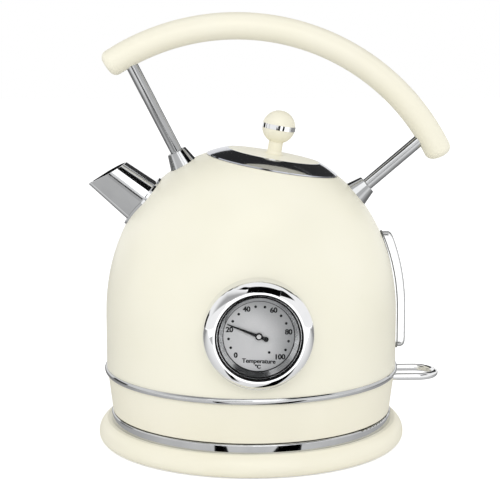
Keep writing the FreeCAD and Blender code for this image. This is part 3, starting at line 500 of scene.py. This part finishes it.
# dark seals that show as thin rings round the lens and the dial, and the ring at the needle's cap
lensLow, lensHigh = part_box("gauge_lens")
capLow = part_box("needle_cap")[0]
gaugeRings = {
    "height": dialPrint["height"],
    "flat": 0.8,
    "rings": [  # name, body, the face it lies at, how far before that face, radius, section
        ("lens_gasket", "kettle", -lensLow.y, 0.00021, 0.02568, 0.00058),
        ("seat_gasket", "kettle", -lensHigh.y, -0.00036, 0.02412, 0.0004),
        ("dial_gasket", "kettle", -dialLow.y, 0.0002, 0.02118, 0.00022),
        ("cap_ring", "needle", -capLow.y, -0.00008, 0.0016, 0.00028),
    ],
}


def makeGaugeRings():
    for name, body, face, before, radius, section in gaugeRings["rings"]:
        bpy.ops.object.select_all(action="DESELECT")
        bpy.ops.mesh.primitive_torus_add(major_radius=radius, minor_radius=section, major_segments=128,
                                         minor_segments=12, rotation=(math.radians(90), 0, 0),
                                         location=(0, -face - before, gaugeRings["height"]))
        ring = bpy.context.object
        ring.name = name
        bpy.ops.object.transform_apply(location=True, rotation=True, scale=True)
        bpy.ops.object.mode_set(mode="EDIT")
        bpy.ops.mesh.select_all(action="SELECT")
        bpy.ops.transform.resize(value=(1, gaugeRings["flat"], 1))  # pressed a little flat
        bpy.ops.object.mode_set(mode="OBJECT")
        bpy.ops.object.shade_smooth()
        ring.data.materials.append(sealRubber)
        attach(ring, body)


makeGaugeRings()
print("gauge seals made")


# the level window's seam: a slim bead on its wall, all round, a little off the body
windowBead = {
    "rim": 0.003,
    "section": 0.00042,
    "off": 0.0012,
    "away": 0.03,
    "reach": 0.06,
    "roundShare": 0.499,
}


def makeWindowBead():
    low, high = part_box("level_window")
    beyond = windowBead["rim"] - windowBead["section"]
    wide = high.y - low.y - 2 * beyond
    tall = high.z - low.z - 2 * beyond
    bpy.ops.object.select_all(action="DESELECT")
    start = (high.x + windowBead["away"], 0, (low.z + high.z) / 2)
    bpy.ops.mesh.primitive_plane_add(size=1, location=start, rotation=(0, math.radians(90), 0))
    bead = bpy.context.object
    bead.scale = (tall, wide, 1)
    bpy.ops.object.transform_apply(location=True, rotation=True, scale=True)
    bpy.ops.object.mode_set(mode="EDIT")
    bpy.ops.mesh.select_all(action="SELECT")
    bpy.ops.mesh.bevel(offset=wide * windowBead["roundShare"], segments=12, affect="VERTICES")  # round ends
    bpy.ops.mesh.delete(type="ONLY_FACE")
    bpy.ops.mesh.select_all(action="SELECT")
    bpy.ops.mesh.subdivide(number_cuts=9)
    bpy.ops.object.mode_set(mode="OBJECT")
    for target in ("body_wall", "body_dome"):
        wrap = bead.modifiers.new("wrap", "SHRINKWRAP")
        wrap.target = nodes[target]
        wrap.wrap_method = "PROJECT"
        wrap.use_project_x = True
        wrap.use_positive_direction = False
        wrap.use_negative_direction = True
        wrap.project_limit = windowBead["reach"]
        wrap.offset = windowBead["off"]
        bpy.ops.object.modifier_apply(modifier=wrap.name)
    bpy.ops.object.convert(target="CURVE")
    bead = bpy.context.object
    bead.data.bevel_depth = windowBead["section"]
    bead.data.bevel_resolution = 2
    bpy.ops.object.convert(target="MESH")
    bead = bpy.context.object
    bead.name = "window_bead"
    bpy.ops.object.shade_smooth()
    bead.data.materials.clear()
    bead.data.materials.append(seamSilicone)
    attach(bead, "kettle")


makeWindowBead()
print("window seam laid")


# stage: pale floor, white surroundings, soft boxes, and the white, grey and black cards that metal mirrors
# azimuth 0 is the camera's side and 90 the lever's; wide and high are in degrees as the object sees them
# a card's level is its display tone, above 255 for a light box, and soft is the share of it that fades
stageSet = {
    "floorSize": 6.0,
    "floorTone": (246, 246, 246),
    "floorGlow": 0.5,
    "floorRoughness": 0.9,
    "skyForLight": 0.74,
    "aimAt": (0.0, 0.0, 0.14),
    "cardDistance": 1.7,
    "lamps": [  # name, azimuth, elevation, wide, high, watts
        ("frontLamp", -3, 36, 44, 32, 7.0),
        ("leftLamp", -75, 22, 40, 36, 3.0),
        ("rightLamp", 82, 22, 40, 36, 3.0),
    ],
    "cards": [  # name, azimuth, elevation, wide, high, level, soft
        ("backCard", 175, 43, 86, 38, 55, 0.02),
        ("backRightCard", 150, 27, 36, 32, 60, 0.02),
        ("rightCard", 53, 47, 38, 24, 20, 0.1),
        ("bandCard", -121, 3, 26, 20, 0, 0.3),
        ("frontCard", -9, -2.5, 50, 3, 0, 0.2),
        ("lightCard", -6, 42, 60, 44, 360, 0.15),
        ("spoutLight", 8, 17, 20, 22, 360, 0.15),
    ],
    "nearCards": [  # name, place, turn in degrees, size in metres, level, soft
        ("gaugeCard", (0.014, -0.147, 0.181), (21, 14, 0), (0.079, 0.065), 5, 0.01),
        ("tipCard", (-0.15, -0.19, 0.62), (-9, 22, 208), (0.105, 0.26), 5, 0.01),
        ("shadeCard", (-0.22, -0.3, 0.33), (6, -24, -77), (0.6, 0.35), 172, 0.6),
        ("postCard", (-0.21, -0.15, 0.59), (-17, 69, 6), (0.33, 0.24), 90, 0.05),
        ("postEdgeCard", (-0.27, 0.415, 0.625), (25, 158, -3), (0.075, 0.44), 70, 0.05),
    ],
    "matStep": 0.0005,
    "mats": [  # on the floor: name, place, size in metres, turn in degrees, level, soft
        ("backMat", (0, 0.9), (3.6, 2.3), 0, 150, 0.35),
        ("bandMat", (0.63, -1.06), (0.35, 0.4), 0, 0, 0.2),
        ("ridgeMat", (-0.36, -1.6), (0.3, 1.3), 0, 80, 0.1),
        ("facetMat", (-0.29, -0.6), (0.24, 0.7), 0, 195, 0.05),
        ("leftStrip", (-0.072, -0.176), (0.019, 0.16), -32, 0, 0.25),
        ("rightStrip", (0.076, -0.168), (0.032, 0.22), 43, 0, 0.1),
    ],
}


def seenRays(tree):
    # 1 for what the camera, a mirror or a clear piece shows of a surface, 0 for the light it gives
    rays = addNode(tree, "ShaderNodeLightPath")
    direct = addNode(tree, "ShaderNodeMath", operation="MAXIMUM")
    either = addNode(tree, "ShaderNodeMath", operation="MAXIMUM")
    tree.links.new(rays.outputs["Is Camera Ray"], direct.inputs[0])
    tree.links.new(rays.outputs["Is Glossy Ray"], direct.inputs[1])
    tree.links.new(direct.outputs["Value"], either.inputs[0])
    tree.links.new(rays.outputs["Is Transmission Ray"], either.inputs[1])
    return either.outputs["Value"]


def makeFloor():
    bpy.ops.mesh.primitive_plane_add(size=stageSet["floorSize"], location=(0, 0, 0))
    floor = bpy.context.object
    floor.name = "floor"
    made = bpy.data.materials.new("paleFloor")
    made.use_nodes = True
    tree = made.node_tree
    shader = tree.nodes["Principled BSDF"]
    shader.inputs["Base Color"].default_value = tone(*stageSet["floorTone"])
    shader.inputs["Roughness"].default_value = stageSet["floorRoughness"]
    shader.inputs["Specular IOR Level"].default_value = 0.0
    shader.inputs["Emission Color"].default_value = (1, 1, 1, 1)
    glow = addNode(tree, "ShaderNodeMath", {1: stageSet["floorGlow"]}, operation="MULTIPLY")
    tree.links.new(seenRays(tree), glow.inputs[0])
    tree.links.new(glow.outputs["Value"], shader.inputs["Emission Strength"])
    above = addNode(tree, "ShaderNodeMath", {0: 1.0}, operation="SUBTRACT")  # clear from below
    tree.links.new(addNode(tree, "ShaderNodeNewGeometry").outputs["Backfacing"], above.inputs[1])
    tree.links.new(above.outputs["Value"], shader.inputs["Alpha"])
    floor.data.materials.append(made)


def makeSky():
    world = bpy.data.worlds.new("studio")
    scene.world = world
    world.use_nodes = True
    tree = world.node_tree
    sky = tree.nodes["Background"]
    sky.inputs["Color"].default_value = (1, 1, 1, 1)
    level = addNode(tree, "ShaderNodeMapRange", {"To Min": stageSet["skyForLight"], "To Max": 1.0})
    tree.links.new(seenRays(tree), level.inputs["Value"])
    tree.links.new(level.outputs["Result"], sky.inputs["Strength"])


def lookFrom(azimuth, elevation):
    # a place on the stage's sphere, and the turn that faces the object from there
    turn = math.radians(azimuth)
    rise = math.radians(elevation)
    away = Vector((math.sin(turn) * math.cos(rise), -math.cos(turn) * math.cos(rise), math.sin(rise)))
    place = Vector(stageSet["aimAt"]) + away * stageSet["cardDistance"]
    return place, (-away).to_track_quat("-Z", "Y").to_euler()


def seenSize(degrees):
    return 2 * stageSet["cardDistance"] * math.tan(math.radians(degrees) / 2)


def makeLamps():
    for name, azimuth, elevation, wide, high, power in stageSet["lamps"]:
        place, turn = lookFrom(azimuth, elevation)
        bpy.ops.object.light_add(type="AREA", location=place, rotation=turn)
        lamp = bpy.context.object
        lamp.name = name
        lamp.data.shape = "RECTANGLE"
        lamp.data.size = seenSize(wide)
        lamp.data.size_y = seenSize(high)
        lamp.data.energy = power
        lamp.visible_glossy = False


def makeCard(name, place, turn, wide, high, level, soft):
    # only mirrored: it lights and shades nothing, the camera doesn't see it, and its edge fades to white
    bpy.ops.mesh.primitive_plane_add(size=2, location=place, rotation=turn)
    card = bpy.context.object
    card.name = name
    card.scale = (wide / 2, high / 2, 1)
    card.visible_camera = False
    card.visible_diffuse = False
    card.visible_shadow = False
    made = bpy.data.materials.new(name)
    made.use_nodes = True
    made.cycles.emission_sampling = "NONE"
    tree = made.node_tree
    shader = tree.nodes["Principled BSDF"]
    shader.inputs["Base Color"].default_value = (0, 0, 0, 1)
    shader.inputs["Specular IOR Level"].default_value = 0.0
    shader.inputs["Emission Color"].default_value = (1, 1, 1, 1)
    across = addNode(tree, "ShaderNodeVectorMath", operation="ABSOLUTE")
    parts = addNode(tree, "ShaderNodeSeparateXYZ")
    outer = addNode(tree, "ShaderNodeMath", operation="MAXIMUM")
    core = tone(level, level, level)[0]
    fade = addNode(tree, "ShaderNodeMapRange", {"From Min": 1 - soft, "To Min": core},
                   interpolation_type="SMOOTHSTEP")
    tree.links.new(addNode(tree, "ShaderNodeTexCoord").outputs["Object"], across.inputs[0])
    tree.links.new(across.outputs["Vector"], parts.inputs["Vector"])
    tree.links.new(parts.outputs["X"], outer.inputs[0])
    tree.links.new(parts.outputs["Y"], outer.inputs[1])
    tree.links.new(outer.outputs["Value"], fade.inputs["Value"])
    tree.links.new(fade.outputs["Result"], shader.inputs["Emission Strength"])
    card.data.materials.append(made)


def makeCards():
    for name, azimuth, elevation, wide, high, level, soft in stageSet["cards"]:
        place, turn = lookFrom(azimuth, elevation)
        makeCard(name, place, turn, seenSize(wide), seenSize(high), level, soft)
    for name, place, turn, size, level, soft in stageSet["nearCards"]:
        makeCard(name, place, [math.radians(angle) for angle in turn], *size, level, soft)
    for index, (name, place, size, turn, level, soft) in enumerate(stageSet["mats"]):
        height = stageSet["matStep"] * (index + 1)
        makeCard(name, (*place, height), (0, 0, math.radians(turn)), *size, level, soft)


makeFloor()
makeSky()
makeLamps()
makeCards()
print("stage set")
